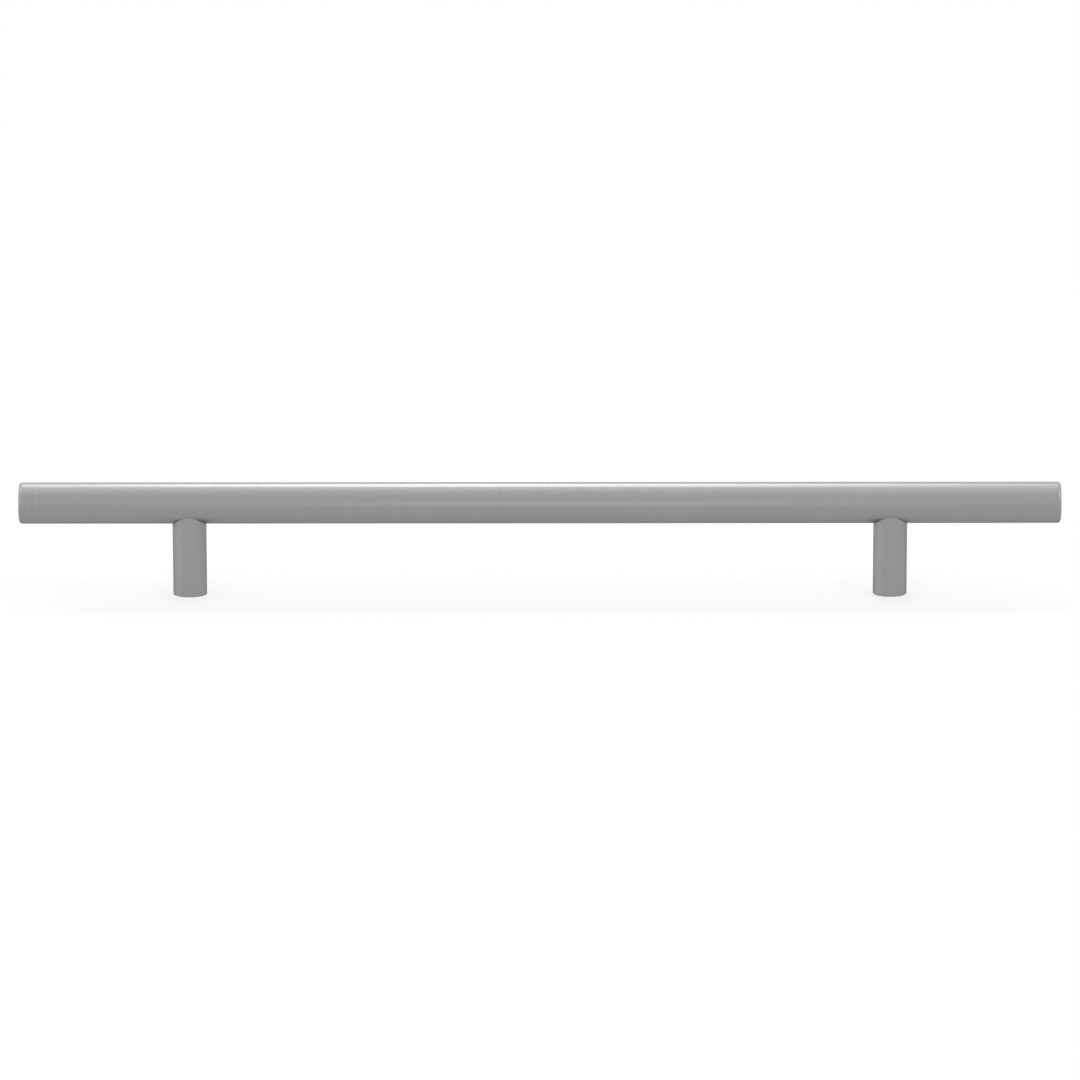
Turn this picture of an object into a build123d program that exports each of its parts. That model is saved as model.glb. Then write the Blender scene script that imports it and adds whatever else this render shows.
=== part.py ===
from build123d import *

import math
import os

# A bar pull for a cabinet or drawer: a round bar on two turned posts, each joined to it by a hidden stud.
# The bar runs along X and the posts along Z. Their feet lie in the plane Z = 0, which is the face of the
# drawer front, and the origin is midway between the two mounting holes. All lengths are in millimetres.

# The bar and the posts
hole_spacing = 203.2
bar_overhang = 49.2
bar_diameter = 12.0
bar_end_rounding = 0.9
post_diameter = 9.8
post_height = 21.0
foot_rounding = 0.3

# The tapped mounting hole in each foot, No. 8-32
mount_thread_diameter = 4.166
mount_drill_diameter = 3.45
mount_countersink = 0.4

# The stud that joins each post to the bar, M5, and the holes with formed threads that it sits in
stud_thread_diameter = 5.0
stud_length = 10.0
stud_depth_in_bar = 5.0
stud_end_chamfer = 0.45
stud_drill_diameter = 4.65
stud_thread_clearance = 0.05
stud_end_clearance = 0.6
hex_socket_width = 2.5
hex_socket_depth = 2.5

# What every drilled hole has below its thread
drill_runout = 1.0
drill_point_angle = 118.0

# The metal left between a post's two blind holes
post_web = 2.0

bar_length = hole_spacing + 2 * bar_overhang
bar_radius = bar_diameter / 2
bar_axis_height = post_height + bar_radius
post_places = {"left": -hole_spacing / 2, "right": hole_spacing / 2}


def drill_point_height(drill_diameter):
    """Height of the cone that a drill leaves at the bottom of a blind hole."""
    return drill_diameter / 2 / math.tan(math.radians(drill_point_angle / 2))


def tapped_hole(thread_diameter, drill_diameter, thread_depth, mouth_reach):
    """The space of a blind tapped hole that opens downwards at the origin and runs up along Z.

    It runs on below its mouth by mouth_reach, so that it also opens through a curved face.
    """
    thread_radius = thread_diameter / 2
    drill_radius = drill_diameter / 2
    drill_depth = thread_depth + drill_runout
    tip_depth = drill_depth + drill_point_height(drill_diameter)
    half_section = Polyline(
        (0, -mouth_reach),
        (thread_radius, -mouth_reach),
        (thread_radius, thread_depth),
        (drill_radius, thread_depth),
        (drill_radius, drill_depth),
        (0, tip_depth),
        close=True,
    )
    return revolve(Plane.XZ * make_face(half_section), Axis.Z)


def bar_cylinder():
    """The bar's plain cylinder, which also cuts the seat in each post."""
    along_x = Rot(0, 90, 0) * Cylinder(bar_radius, bar_length)
    return Pos(0, 0, bar_axis_height) * along_x


def stud_hole(depth_of_stud):
    """The hole for one end of a stud, which runs up from its mouth in the seat."""
    return tapped_hole(
        stud_thread_diameter + 2 * stud_thread_clearance,
        stud_drill_diameter,
        depth_of_stud + stud_end_clearance,
        bar_radius,
    )


def stud_hole_depth(depth_of_stud):
    """Full depth of that hole, to the tip of its drill point."""
    return depth_of_stud + stud_end_clearance + drill_runout + drill_point_height(stud_drill_diameter)


def make_bar():
    """The round bar, with rounded end edges and a tapped hole above each post."""
    bar = bar_cylinder()
    end_edges = bar.edges().filter_by(GeomType.CIRCLE)
    bar = fillet(end_edges, bar_end_rounding)
    for x in post_places.values():
        bar -= Pos(x, 0, post_height) * stud_hole(stud_depth_in_bar)
    return bar


def mounting_hole():
    """The tapped hole in a post's foot, countersunk at its mouth and as deep as the web allows."""
    depth_below_web = post_height - stud_hole_depth(stud_length - stud_depth_in_bar) - post_web
    thread_depth = depth_below_web - drill_runout - drill_point_height(mount_drill_diameter)
    mouth_radius = mount_thread_diameter / 2 + mount_countersink
    hole = tapped_hole(mount_thread_diameter, mount_drill_diameter, thread_depth, mount_countersink)
    countersink = Cone(
        mouth_radius,
        mount_thread_diameter / 2,
        mount_countersink,
        align=(Align.CENTER, Align.CENTER, Align.MIN),
    )
    return hole + countersink


def make_post():
    """One post with its foot at the origin, its top coped to the bar's underside."""
    from_foot = (Align.CENTER, Align.CENTER, Align.MIN)
    post = Cylinder(post_diameter / 2, bar_axis_height, align=from_foot)
    foot_edge = post.edges().sort_by(Axis.Z)[0]
    post = fillet(foot_edge, foot_rounding)
    post -= bar_cylinder()
    post -= Pos(0, 0, post_height) * Rot(180, 0, 0) * stud_hole(stud_length - stud_depth_in_bar)
    post -= mounting_hole()
    return post


def make_stud():
    """One headless set screw, standing on the origin with its hex socket downwards."""
    from_end = (Align.CENTER, Align.CENTER, Align.MIN)
    stud = Cylinder(stud_thread_diameter / 2, stud_length, align=from_end)
    stud = chamfer(stud.edges().filter_by(GeomType.CIRCLE), stud_end_chamfer)
    hexagon = RegularPolygon(hex_socket_width / 2, 6, major_radius=False)
    stud -= extrude(hexagon, hex_socket_depth)
    return stud


os.makedirs("parts", exist_ok=True)
export_step(make_bar(), "parts/bar.step")
stud_foot_height = post_height - (stud_length - stud_depth_in_bar)
for side, x in post_places.items():
    export_step(Pos(x, 0, 0) * make_post(), f"parts/post_{side}.step")
    export_step(Pos(x, 0, stud_foot_height) * make_stud(), f"parts/stud_{side}.step")
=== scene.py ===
import math
from collections import namedtuple
from functools import partial

import bmesh
import bpy
from mathutils import Matrix, Vector


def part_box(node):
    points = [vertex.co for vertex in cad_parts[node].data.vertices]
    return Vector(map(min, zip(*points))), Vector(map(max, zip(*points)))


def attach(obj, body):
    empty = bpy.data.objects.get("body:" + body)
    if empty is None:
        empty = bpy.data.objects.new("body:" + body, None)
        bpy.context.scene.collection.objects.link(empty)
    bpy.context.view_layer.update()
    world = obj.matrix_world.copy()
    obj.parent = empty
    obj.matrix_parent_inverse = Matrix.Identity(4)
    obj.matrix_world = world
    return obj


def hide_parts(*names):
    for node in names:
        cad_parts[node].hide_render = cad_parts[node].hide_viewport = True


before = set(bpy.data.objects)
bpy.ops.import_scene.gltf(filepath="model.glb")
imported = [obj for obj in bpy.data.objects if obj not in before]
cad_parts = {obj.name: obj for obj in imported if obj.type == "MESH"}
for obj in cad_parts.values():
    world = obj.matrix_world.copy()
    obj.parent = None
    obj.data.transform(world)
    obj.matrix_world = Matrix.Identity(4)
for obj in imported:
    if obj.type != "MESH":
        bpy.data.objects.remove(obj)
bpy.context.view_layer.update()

# A bar pull on two turned posts. All lengths are in metres.

# The pull's sizes and places, as its solids give them
bar_low, bar_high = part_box("bar")
post_low, post_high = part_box("post_right")
stud_low, stud_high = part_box("stud_right")
HOLE_SPACING = post_low.x + post_high.x
BAR_RADIUS = (bar_high.z - bar_low.z) / 2
BAR_AXIS_HEIGHT = (bar_high.z + bar_low.z) / 2
BAR_HALF_LENGTH = bar_high.x
POST_RADIUS = (post_high.x - post_low.x) / 2
STUD_RADIUS = (stud_high.x - stud_low.x) / 2
STUD_LENGTH = stud_high.z - stud_low.z
STUD_FOOT = stud_low.z

# The roundings of its edges
BAR_END_ROUNDING = 0.0009
FOOT_ROUNDING = 0.0003

# A thread's pitch, and the widths of its crest and its root as shares of the pitch
Thread = namedtuple("Thread", "pitch crest root")

# How finely the threads are modelled
THREAD_COLUMNS = 60
THREAD_ROWS_PER_PITCH = 16

# The No. 8-32 thread in each foot, from the end of the countersink upwards
MOUNT_THREAD = Thread(pitch=0.0254 / 32, crest=0.125, root=0.25)
MOUNT_MAJOR_RADIUS = 0.002083
MOUNT_MINOR_RADIUS = 0.001725
MOUNT_START = 0.0004
MOUNT_END = 0.008967
MOUNT_SKIN = 0.000012

# The M5 stud between each post and the bar, with its thread and its hex socket
STUD_THREAD = Thread(pitch=0.0008, crest=0.125, root=0.2)
STUD_ROOT_RADIUS = 0.00201
STUD_CHAMFER = 0.00045
SOCKET_WIDTH = 0.0025
SOCKET_DEPTH = 0.0025
SOCKET_SECTOR = math.radians(60)
SOCKET_DRILL_SHARE = 0.98
SOCKET_DRILL_TIP = 0.0004

# Each metal's grey levels, of its patches and its lightest and darkest lines, and its roughness
Finish = namedtuple("Finish", "base light dark roughness")
BAR_FINISH = Finish(base=0.284, light=0.324, dark=0.246, roughness=0.38)
# The posts are the bar's metal, painted a little lighter to make up for the floor's shade that they
# mirror
POST_FINISH_PAINTED_LIGHTER = Finish(base=0.292, light=0.332, dark=0.254, roughness=0.38)
STUD_FINISH = Finish(base=0.23, light=0.26, dark=0.2, roughness=0.42)

# The tint of all three where they are seen edge-on
EDGE_ON_TINT = 0.55

# The noises in the metals, as cells per metre and octaves of detail
FINE_LINES = (7000.0, 2.0)
BROAD_LINES = (1300.0, 3.0)
PATCHES = (55.0, 3.0)
GRAIN = (9000.0, 2.0)

# The lines' own cells per metre in the direction around the axis, where they are stretched out
CELLS_AROUND_AXIS = 90.0

# The noise values between which lines and patches go from their least to their most
LINE_LIMITS = (0.25, 0.75)
PATCH_LIMITS = (0.3, 0.7)

# How far the patches take the tone, and how far each noise takes the roughness either way
PATCH_TONE = 0.5
FINE_ROUGHNESS = 0.014
BROAD_ROUGHNESS = 0.008
PATCH_ROUGHNESS = 0.008

# The strength and the depth of the relief, and the share that each noise has in it
RELIEF_STRENGTH = 0.6
RELIEF_DEPTH = 0.0000022
FINE_RELIEF = 0.6
BROAD_RELIEF = 0.5
GRAIN_RELIEF = 0.15

# Polishing on rounded edges, whose lighter tone is partly a painted highlight: its share in the tone, its
# tone over the lightest line's, its smoothing
POLISH_AND_HIGHLIGHT_SHARE = 0.2
POLISH_AND_HIGHLIGHT_LIGHTNESS = 1.1
POLISH_SMOOTHING = 0.02

# Where the polishing and the painted highlight start and are full, in from the face or the rim, as shares
# of the rounding
BAR_END_POLISH_AND_HIGHLIGHT = (1.3, 0.4)
BAR_RIM_POLISH_AND_HIGHLIGHT = (1.1, 0.4)
FOOT_FACE_POLISH_AND_HIGHLIGHT = (1.6, 0.5)
FOOT_RIM_POLISH_AND_HIGHLIGHT = (1.5, 0.5)

# The camera: at the photograph's height above the bar, square on to it, through a long lens
VIEW_DISTANCE = 2.0
VIEW_ELEVATION = math.radians(12.42)
VIEW_ROLL = math.radians(0.047)
LENS_MM = 229.8
SENSOR_MM = 36.0
CLIP_START = 0.01
CLIP_END = 100.0
AIM_POINT = Vector((0.00003, 0.0, 0.01592))

# The floor: white paper just under the feet
FLOOR_RADIUS = 8.0
FLOOR_SIDES = 64
FLOOR_CLEARANCE = 0.00002
FLOOR_SHADE = 0.66
PAPER_VARIATION = 0.01
PAPER_FIBRE = (700.0, 3.0)

# The share of plain white in what the camera sees of the floor near the pull, and in what metal mirrors
NEAR_WHITE_SHARE = 0.7
MIRRORED_WHITE_SHARE = 0.75

# The distances from the middle between which the seen floor, with its shadow, goes to plain white
SHADOW_FADE_START = 0.3
SHADOW_FADE_END = 0.9

# The studio: a white dome, whose soft boxes are brighter parts of it
STUDIO_LEVEL = 1.12
SOFT_BOX_EDGE = 0.2
LEAST_AHEAD = 0.001
UP = Vector((0.0, 0.0, 1.0))

# A soft box's direction from the pull, the tangents of the angles that its half sides span, and its light
SoftBox = namedtuple("SoftBox", "towards half_width half_height added")
SOFT_BOXES = {
    "overhead": SoftBox((0.0, 0.056, 1.0), half_width=0.68, half_height=0.56, added=0.21),
    "top_back": SoftBox((0.0, 0.274, 1.0), half_width=0.68, half_height=0.39, added=0.25),
    "rim": SoftBox((0.0, 1.0, 0.42), half_width=0.63, half_height=0.23, added=0.87),
    "left": SoftBox((-1.0, 0.056, 0.052), half_width=0.56, half_height=0.061, added=3.0),
    "right": SoftBox((1.0, 0.056, 0.052), half_width=0.56, half_height=0.061, added=0.58),
    "key_left": SoftBox((-0.95, 0.44, 1.0), half_width=0.227, half_height=0.176, added=2.8),
    "key_right": SoftBox((0.95, -0.44, 1.0), half_width=0.227, half_height=0.176, added=2.8),
}

# The lamps: one makes the long highlight on the bar's top, the other a faint band along its front
Lamp = namedtuple("Lamp", "place size watts")
HIGHLIGHT_LAMP = Lamp(place=(-0.055, 1.15, 1.56), size=(0.4, 0.2), watts=5.9)
FRONT_LAMP = Lamp(place=(0.012, -0.6, 0.09), size=(0.04, 0.03), watts=0.055)


def grey(level):
    """The colour of a grey level."""
    return (level, level, level)


WHITE = grey(1.0)


class Nodes:
    """A small writer of node trees."""

    # The places of the two colours and the result among a Mix node's sockets
    FIRST_COLOUR, SECOND_COLOUR, MIXED_COLOUR = 6, 7, 2

    def __init__(self, owner):
        """Starts an empty tree for a material or a world."""
        owner.use_nodes = True
        self.tree = owner.node_tree
        self.tree.nodes.clear()

    def put(self, socket, value):
        """Links a socket to another node's output, or sets it to a plain value."""
        if isinstance(value, bpy.types.NodeSocket):
            self.tree.links.new(value, socket)
        elif isinstance(value, tuple) and len(value) == 3 and socket.type == "RGBA":
            socket.default_value = (*value, 1.0)
        else:
            socket.default_value = value

    def add(self, kind, inputs=None, **settings):
        """A new node with its settings, and with its inputs by name or number."""
        node = self.tree.nodes.new(kind)
        for name, value in settings.items():
            setattr(node, name, value)
        for name, value in (inputs or {}).items():
            self.put(node.inputs[name], value)
        return node

    def output(self, kind, surface):
        """Ends the tree with its output node."""
        self.add(kind, {"Surface": surface})

    def math(self, operation, first, second=0.0):
        """One number worked out from two, or from the first alone."""
        return self.add("ShaderNodeMath", {0: first, 1: second}, operation=operation).outputs[0]

    def dot(self, vector, axis):
        """Length of a vector along a fixed unit axis."""
        node = self.add("ShaderNodeVectorMath", {0: vector, 1: tuple(axis)}, operation="DOT_PRODUCT")
        return node.outputs["Value"]

    def place(self):
        """The point being shaded, as three numbers in metres in the pull's own frame."""
        point = self.add("ShaderNodeTexCoord").outputs["Object"]
        return tuple(self.add("ShaderNodeSeparateXYZ", {0: point}).outputs)

    def distance(self, first, second):
        """Distance from an axis, out of the two offsets from it."""
        first_square = self.math("MULTIPLY", first, first)
        second_square = self.math("MULTIPLY", second, second)
        return self.math("SQRT", self.math("ADD", first_square, second_square))

    def ramp(self, value, start, end, low=0.0, high=1.0):
        """A smooth step from low to high as value goes from start to end."""
        inputs = {"Value": value, "From Min": start, "From Max": end, "To Min": low, "To Max": high}
        return self.add("ShaderNodeMapRange", inputs, interpolation_type="SMOOTHSTEP").outputs["Result"]

    def noise(self, point, scale, detail, fourth=None):
        """Noise at a point given as three numbers, or four with fourth."""
        vector = self.add("ShaderNodeCombineXYZ", dict(enumerate(point))).outputs[0]
        inputs = {"Vector": vector, "Scale": scale, "Detail": detail}
        if fourth is None:
            return self.add("ShaderNodeTexNoise", inputs, noise_dimensions="3D").outputs["Fac"]
        inputs["W"] = fourth
        return self.add("ShaderNodeTexNoise", inputs, noise_dimensions="4D").outputs["Fac"]

    def mix(self, share, first, second):
        """A mix of two colours, from the first at share 0 to the second at share 1."""
        inputs = {"Factor": share, self.FIRST_COLOUR: first, self.SECOND_COLOUR: second}
        return self.add("ShaderNodeMix", inputs, data_type="RGBA").outputs[self.MIXED_COLOUR]

    def mix_shaders(self, share, first, second):
        """A mix of two shaders, in the same way."""
        return self.add("ShaderNodeMixShader", {"Fac": share, 1: first, 2: second}).outputs[0]


def turned_metal(name, axis, finish, edge_mask):
    """Satin metal ground or turned around an axis.

    Its fine lines go round the axis on the side and in rings on the end faces. axis gives, out of the
    three coordinates, the one along the axis and the two offsets from it.
    """
    material = bpy.data.materials.new(name)
    nodes = Nodes(material)
    along, offset_a, offset_b = axis(nodes)
    radius = nodes.distance(offset_a, offset_b)

    def lines(per_metre, detail):
        """Noise that is fine along the axis and along the radius, and slow around the axis."""
        point = (
            nodes.math("MULTIPLY", along, per_metre),
            nodes.math("MULTIPLY", radius, per_metre),
            nodes.math("MULTIPLY", offset_a, CELLS_AROUND_AXIS),
        )
        return nodes.noise(point, 1.0, detail, nodes.math("MULTIPLY", offset_b, CELLS_AROUND_AXIS))

    fine = lines(*FINE_LINES)
    broad = lines(*BROAD_LINES)
    patches = nodes.noise((along, offset_a, offset_b), *PATCHES)
    grain = nodes.noise((along, offset_a, offset_b), *GRAIN)
    edges = edge_mask(nodes, along, radius)

    lined = nodes.mix(fine, grey(finish.dark), grey(finish.light))
    toned = nodes.mix(nodes.ramp(patches, *PATCH_LIMITS, 0.0, PATCH_TONE), lined, grey(finish.base))
    # The rounded edges turn lighter, partly from polishing and partly as a painted highlight where they
    # catch the light
    polished_and_highlit = grey(finish.light * POLISH_AND_HIGHLIGHT_LIGHTNESS)
    colour = nodes.mix(nodes.math("MULTIPLY", edges, POLISH_AND_HIGHLIGHT_SHARE), toned, polished_and_highlit)

    smoothest, roughest = finish.roughness - FINE_ROUGHNESS, finish.roughness + FINE_ROUGHNESS
    by_broad = nodes.ramp(broad, *LINE_LIMITS, -BROAD_ROUGHNESS, BROAD_ROUGHNESS)
    by_patches = nodes.ramp(patches, *PATCH_LIMITS, -PATCH_ROUGHNESS, PATCH_ROUGHNESS)
    rough = nodes.ramp(fine, *LINE_LIMITS, smoothest, roughest)
    rough = nodes.math("ADD", rough, by_broad)
    rough = nodes.math("ADD", rough, by_patches)
    rough = nodes.math("SUBTRACT", rough, nodes.math("MULTIPLY", edges, POLISH_SMOOTHING))

    height = nodes.math("MULTIPLY", fine, FINE_RELIEF)
    height = nodes.math("ADD", height, nodes.math("MULTIPLY", grain, GRAIN_RELIEF))
    height = nodes.math("ADD", height, nodes.math("MULTIPLY", broad, BROAD_RELIEF))
    relief = {"Strength": RELIEF_STRENGTH, "Distance": RELIEF_DEPTH, "Height": height}
    surface = {
        "Base Color": colour,
        "Metallic": 1.0,
        "Roughness": rough,
        "Specular Tint": grey(EDGE_ON_TINT),
        "Normal": nodes.add("ShaderNodeBump", relief).outputs[0],
    }
    shader = nodes.add("ShaderNodeBsdfPrincipled", surface).outputs[0]
    nodes.output("ShaderNodeOutputMaterial", shader)
    return material


def bar_axis(nodes):
    """The bar's axis, along X."""
    x, y, z = nodes.place()
    return x, y, nodes.math("SUBTRACT", z, BAR_AXIS_HEIGHT)


def post_axis(nodes):
    """The axes of both posts at once, which are equally far from the middle."""
    x, y, z = nodes.place()
    return z, nodes.math("SUBTRACT", nodes.math("ABSOLUTE", x), HOLE_SPACING / 2), y


def polish_and_highlight_near(nodes, distance, outer, rounding, polish_and_highlight_span):
    """Goes from 0 to 1 as a distance nears its outer limit, over the given shares of the rounding."""
    start, full = polish_and_highlight_span
    return nodes.ramp(distance, outer - rounding * start, outer - rounding * full)


def bar_edges(nodes, along, radius):
    """The rounded edges at the bar's two ends, smoothed by handling and lightened as a painted highlight.
    """
    from_middle = nodes.math("ABSOLUTE", along)
    near_end = polish_and_highlight_near(nodes, from_middle, BAR_HALF_LENGTH, BAR_END_ROUNDING, BAR_END_POLISH_AND_HIGHLIGHT)
    near_rim = polish_and_highlight_near(nodes, radius, BAR_RADIUS, BAR_END_ROUNDING, BAR_RIM_POLISH_AND_HIGHLIGHT)
    return nodes.math("MULTIPLY", near_end, near_rim)


def post_edges(nodes, along, radius):
    """The rounded edge round each foot."""
    start, full = (FOOT_ROUNDING * share for share in FOOT_FACE_POLISH_AND_HIGHLIGHT)
    near_foot = nodes.ramp(along, full, start, 1.0, 0.0)
    near_rim = polish_and_highlight_near(nodes, radius, POST_RADIUS, FOOT_ROUNDING, FOOT_RIM_POLISH_AND_HIGHLIGHT)
    return nodes.math("MULTIPLY", near_foot, near_rim)


def no_edges(nodes, along, radius):
    """The studs, which are out of reach, get no polishing and no painted highlight."""
    return 0.0


def dress(node, material):
    """Gives one of the solids its material."""
    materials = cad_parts[node].data.materials
    materials.clear()
    materials.append(material)


def floor_material():
    """White paper that takes the pull's soft shadow near it, and is plain white further out."""
    material = bpy.data.materials.new("floor_white")
    nodes = Nodes(material)
    x, y, z = nodes.place()
    fibre = nodes.noise((x, y, z), *PAPER_FIBRE)
    darkest = grey(FLOOR_SHADE * (1 - PAPER_VARIATION))
    lightest = grey(FLOOR_SHADE * (1 + PAPER_VARIATION))
    paper = nodes.add("ShaderNodeBsdfDiffuse", {"Color": nodes.mix(fibre, darkest, lightest)}).outputs[0]
    white = nodes.add("ShaderNodeEmission", {"Color": WHITE, "Strength": 1.0}).outputs[0]
    path = nodes.add("ShaderNodeLightPath").outputs
    from_middle = nodes.distance(x, y)
    seen_share = nodes.ramp(from_middle, SHADOW_FADE_START, SHADOW_FADE_END, NEAR_WHITE_SHARE, 1.0)
    seen = nodes.math("MULTIPLY", path["Is Camera Ray"], seen_share)
    mirrored = nodes.math("MAXIMUM", path["Is Glossy Ray"], path["Is Transmission Ray"])
    mirrored = nodes.math("MULTIPLY", mirrored, MIRRORED_WHITE_SHARE)
    share = nodes.math("MAXIMUM", seen, mirrored)
    nodes.output("ShaderNodeOutputMaterial", nodes.mix_shaders(share, paper, white))
    return material


def make_floor():
    """A large disc just under the feet."""
    mesh = bpy.data.meshes.new("floor")
    disc = bmesh.new()
    bmesh.ops.create_circle(disc, cap_ends=True, radius=FLOOR_RADIUS, segments=FLOOR_SIDES)
    disc.to_mesh(mesh)
    disc.free()
    floor = bpy.data.objects.new("floor", mesh)
    floor.location.z = -FLOOR_CLEARANCE
    bpy.context.scene.collection.objects.link(floor)
    floor.data.materials.append(floor_material())


def soft_box_light(nodes, direction, box):
    """What a rectangular soft box adds to the dome's light in a direction.

    A direction that points away from the box gets a steep slope, which lies outside it.
    """
    centre = Vector(box.towards).normalized()
    across = centre.cross(UP).normalized()
    upward = across.cross(centre)
    ahead = nodes.math("MAXIMUM", nodes.dot(direction, centre), LEAST_AHEAD)
    light = box.added
    for axis, half in ((across, box.half_width), (upward, box.half_height)):
        offset = nodes.math("ABSOLUTE", nodes.dot(direction, axis))
        slope = nodes.math("DIVIDE", offset, ahead)
        inside = nodes.ramp(slope, half * (1 - SOFT_BOX_EDGE), half * (1 + SOFT_BOX_EDGE), 1.0, 0.0)
        light = nodes.math("MULTIPLY", inside, light)
    return light


def make_world():
    """White light from all round with soft boxes in it, seen directly as plain white."""
    world = bpy.data.worlds.new("studio")
    bpy.context.scene.world = world
    nodes = Nodes(world)
    direction = nodes.add("ShaderNodeTexCoord").outputs["Generated"]
    level = STUDIO_LEVEL
    for box in SOFT_BOXES.values():
        level = nodes.math("ADD", soft_box_light(nodes, direction, box), level)
    light = nodes.add("ShaderNodeBackground", {"Color": WHITE, "Strength": level}).outputs[0]
    backdrop = nodes.add("ShaderNodeBackground", {"Color": WHITE, "Strength": 1.0}).outputs[0]
    seen = nodes.add("ShaderNodeLightPath").outputs["Is Camera Ray"]
    nodes.output("ShaderNodeOutputWorld", nodes.mix_shaders(seen, light, backdrop))


def soft_light(name, lamp):
    """A rectangular studio light turned towards the middle of the bar."""
    data = bpy.data.lights.new(name, "AREA")
    data.shape = "RECTANGLE"
    data.size, data.size_y = lamp.size
    data.energy = lamp.watts
    light = bpy.data.objects.new(name, data)
    light.location = lamp.place
    light.rotation_mode = "QUATERNION"
    towards = Vector((0.0, 0.0, BAR_AXIS_HEIGHT)) - Vector(lamp.place)
    light.rotation_quaternion = towards.to_track_quat("-Z", "Y")
    light.visible_camera = False
    bpy.context.scene.collection.objects.link(light)


def make_camera():
    """The camera looks slightly down at the middle of the pull."""
    data = bpy.data.cameras.new("camera")
    data.lens = LENS_MM
    data.sensor_width = SENSOR_MM
    data.clip_start = CLIP_START
    data.clip_end = CLIP_END
    camera = bpy.data.objects.new("camera", data)
    back = Vector((0.0, -math.cos(VIEW_ELEVATION), math.sin(VIEW_ELEVATION)))
    look = (-back).to_track_quat("-Z", "Y").to_matrix().to_4x4()
    roll = Matrix.Rotation(-VIEW_ROLL, 4, "Z")
    camera.matrix_world = Matrix.Translation(AIM_POINT + back * VIEW_DISTANCE) @ look @ roll
    bpy.context.scene.collection.objects.link(camera)
    bpy.context.scene.camera = camera


def ring(shape, radius, z):
    """One ring of points round the axis, where radius is a number or a function of the angle."""
    points = []
    for column in range(THREAD_COLUMNS):
        angle = 2 * math.pi * column / THREAD_COLUMNS
        size = radius(angle) if callable(radius) else radius
        points.append(shape.verts.new((size * math.cos(angle), size * math.sin(angle), z)))
    return points


def join_rings(shape, lower, upper):
    """Faces between two rings of points."""
    for column in range(THREAD_COLUMNS):
        after = (column + 1) % THREAD_COLUMNS
        shape.faces.new((lower[column], lower[after], upper[after], upper[column]))


def close_ring(shape, points, z):
    """A fan of faces from a ring to a point on the axis."""
    tip = shape.verts.new((0.0, 0.0, z))
    for column in range(THREAD_COLUMNS):
        shape.faces.new((points[column], points[(column + 1) % THREAD_COLUMNS], tip))


def thread_height(thread, z, angle):
    """Height of a thread's surface, from 0 at its root to 1 at its crest."""
    turns = z / thread.pitch - angle / (2 * math.pi)
    from_crest = abs((turns + 0.5) % 1.0 - 0.5)
    flank = 0.5 - thread.crest / 2 - thread.root / 2
    return min(max((0.5 - thread.root / 2 - from_crest) / flank, 0.0), 1.0)


def threaded_wall(shape, thread, start, end, wall):
    """Makes a wall from its radius at a height and an angle, and gives its first and its last ring."""
    count = math.ceil((end - start) / thread.pitch * THREAD_ROWS_PER_PITCH)
    levels = [start + (end - start) * row / count for row in range(count + 1)]
    rings = [ring(shape, partial(wall, z), z) for z in levels]
    for lower, upper in zip(rings, rings[1:]):
        join_rings(shape, lower, upper)
    return rings[0], rings[-1]


def finish_piece(shape, name, place, material):
    """Turns a finished shape into a piece of the pull."""
    bmesh.ops.recalc_face_normals(shape, faces=shape.faces)
    mesh = bpy.data.meshes.new(name)
    shape.to_mesh(mesh)
    shape.free()
    mesh.transform(Matrix.Translation(place))
    piece = bpy.data.objects.new(name, mesh)
    bpy.context.scene.collection.objects.link(piece)
    piece.data.materials.append(material)
    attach(piece, "root")
    return piece


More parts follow.
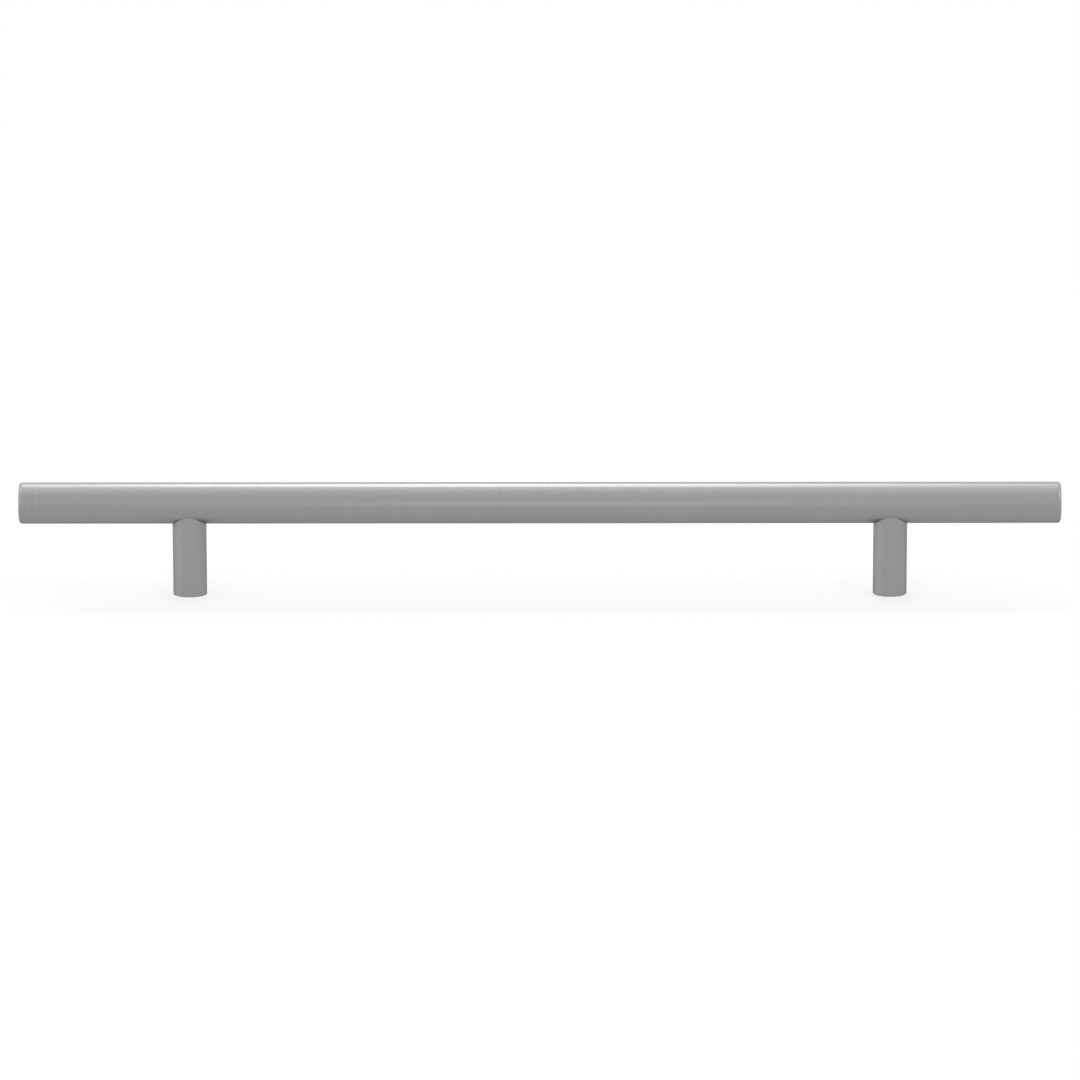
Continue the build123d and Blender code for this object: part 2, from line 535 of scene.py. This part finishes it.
def mounting_thread(side, x, material):
    """The cut thread in a post's foot.

    It is a thin sleeve with its crests standing inwards, and laps over the hole's plain wall by the skin.
    """
    root = MOUNT_MAJOR_RADIUS - MOUNT_SKIN

    def wall(z, angle):
        """The thread, whose crests the countersink cuts back at the mouth."""
        threaded = root - (root - MOUNT_MINOR_RADIUS) * thread_height(MOUNT_THREAD, z, angle)
        return max(threaded, root - (z - MOUNT_START))

    shape = bmesh.new()
    inner_low, inner_high = threaded_wall(shape, MOUNT_THREAD, MOUNT_START, MOUNT_END, wall)
    outer_low = ring(shape, MOUNT_MAJOR_RADIUS + MOUNT_SKIN, MOUNT_START)
    outer_high = ring(shape, MOUNT_MAJOR_RADIUS + MOUNT_SKIN, MOUNT_END)
    join_rings(shape, outer_low, inner_low)
    join_rings(shape, inner_high, outer_high)
    join_rings(shape, outer_high, outer_low)
    finish_piece(shape, f"mounting_thread_{side}", (x, 0.0, 0.0), material)


def hexagon(angle):
    """Distance from the axis to the side of the socket's hexagon."""
    from_flat = (angle + SOCKET_SECTOR / 2) % SOCKET_SECTOR - SOCKET_SECTOR / 2
    return SOCKET_WIDTH / 2 / math.cos(from_flat)


def threaded_stud(side, x, material):
    """The headless set screw, with its whole thread and its hex socket."""

    def wall(z, angle):
        """The thread, which a chamfer cuts back at both ends."""
        height = thread_height(STUD_THREAD, z, angle)
        threaded = STUD_ROOT_RADIUS + (STUD_RADIUS - STUD_ROOT_RADIUS) * height
        from_end = min(z, STUD_LENGTH - z)
        return min(threaded, STUD_RADIUS - STUD_CHAMFER + from_end)

    shape = bmesh.new()
    socket_end, plain_end = threaded_wall(shape, STUD_THREAD, 0.0, STUD_LENGTH, wall)
    close_ring(shape, plain_end, STUD_LENGTH)
    mouth = ring(shape, hexagon, 0.0)
    bottom = ring(shape, hexagon, SOCKET_DEPTH)
    drilled = ring(shape, SOCKET_WIDTH / 2 * SOCKET_DRILL_SHARE, SOCKET_DEPTH)
    join_rings(shape, mouth, socket_end)
    join_rings(shape, bottom, mouth)
    join_rings(shape, drilled, bottom)
    close_ring(shape, drilled, SOCKET_DEPTH + SOCKET_DRILL_TIP)
    piece = finish_piece(shape, f"stud_{side}_threaded", (x, 0.0, STUD_FOOT), material)
    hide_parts(f"stud_{side}")


make_camera()
make_world()
make_floor()
soft_light("highlight", HIGHLIGHT_LAMP)
soft_light("front", FRONT_LAMP)

bar_metal = turned_metal("satin_bar", bar_axis, BAR_FINISH, bar_edges)
post_metal = turned_metal("satin_post", post_axis, POST_FINISH_PAINTED_LIGHTER, post_edges)
stud_metal = turned_metal("stud_steel", post_axis, STUD_FINISH, no_edges)
dress("bar", bar_metal)
for side, x in (("left", -HOLE_SPACING / 2), ("right", HOLE_SPACING / 2)):
    dress(f"post_{side}", post_metal)
    dress(f"stud_{side}", stud_metal)
    mounting_thread(side, x, post_metal)
    threaded_stud(side, x, stud_metal)

bpy.context.scene.view_settings.view_transform = "Standard"
